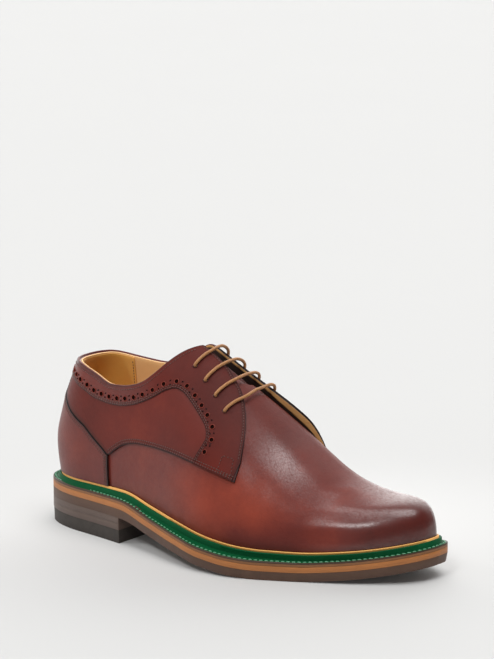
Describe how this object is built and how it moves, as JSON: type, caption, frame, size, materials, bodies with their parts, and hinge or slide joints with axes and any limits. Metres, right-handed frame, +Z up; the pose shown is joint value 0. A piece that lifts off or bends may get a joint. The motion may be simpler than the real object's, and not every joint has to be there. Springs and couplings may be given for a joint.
{
  "type": "lace-up derby shoe",
  "caption": "Brown leather derby shoe for the right foot, brogued collar and facings, green storm welt, leather sole and stacked heel.",
  "frame": {"origin": "centre of the sole's plan box, on the floor", "axes": "+X towards the toe, +Y towards the medial side, +Z up"},
  "size_m": [0.2992, 0.1068, 0.134],
  "materials": {
    "upper_leather": "burnished, glossy",
    "sole_leather": "dressed edge, satin",
    "midsole_leather": "waxed edge, satin",
    "heel_leather": "dressed edge, satin",
    "heel_rubber": "matt",
    "welt_leather": "dyed green, satin",
    "rand_leather": "natural edge, satin",
    "lining_leather": "natural, soft",
    "lace_cotton": "round, waxed"
  },
  "bodies": {
    "root": {"outsole": "sole_leather", "midsole": "midsole_leather", "welt": "welt_leather", "rand": "rand_leather", "heel_lift": "heel_leather", "heel_top_piece": "heel_rubber", "insole": "lining_leather", "upper": "upper_leather", "tongue": "upper_leather", "quarter_lateral": "upper_leather", "quarter_medial": "upper_leather", "counter": "upper_leather", "lace_bar_1": "lace_cotton", "lace_bar_2": "lace_cotton", "lace_bar_3": "lace_cotton", "lace_bar_4": "lace_cotton"}
  },
  "joints": []
}
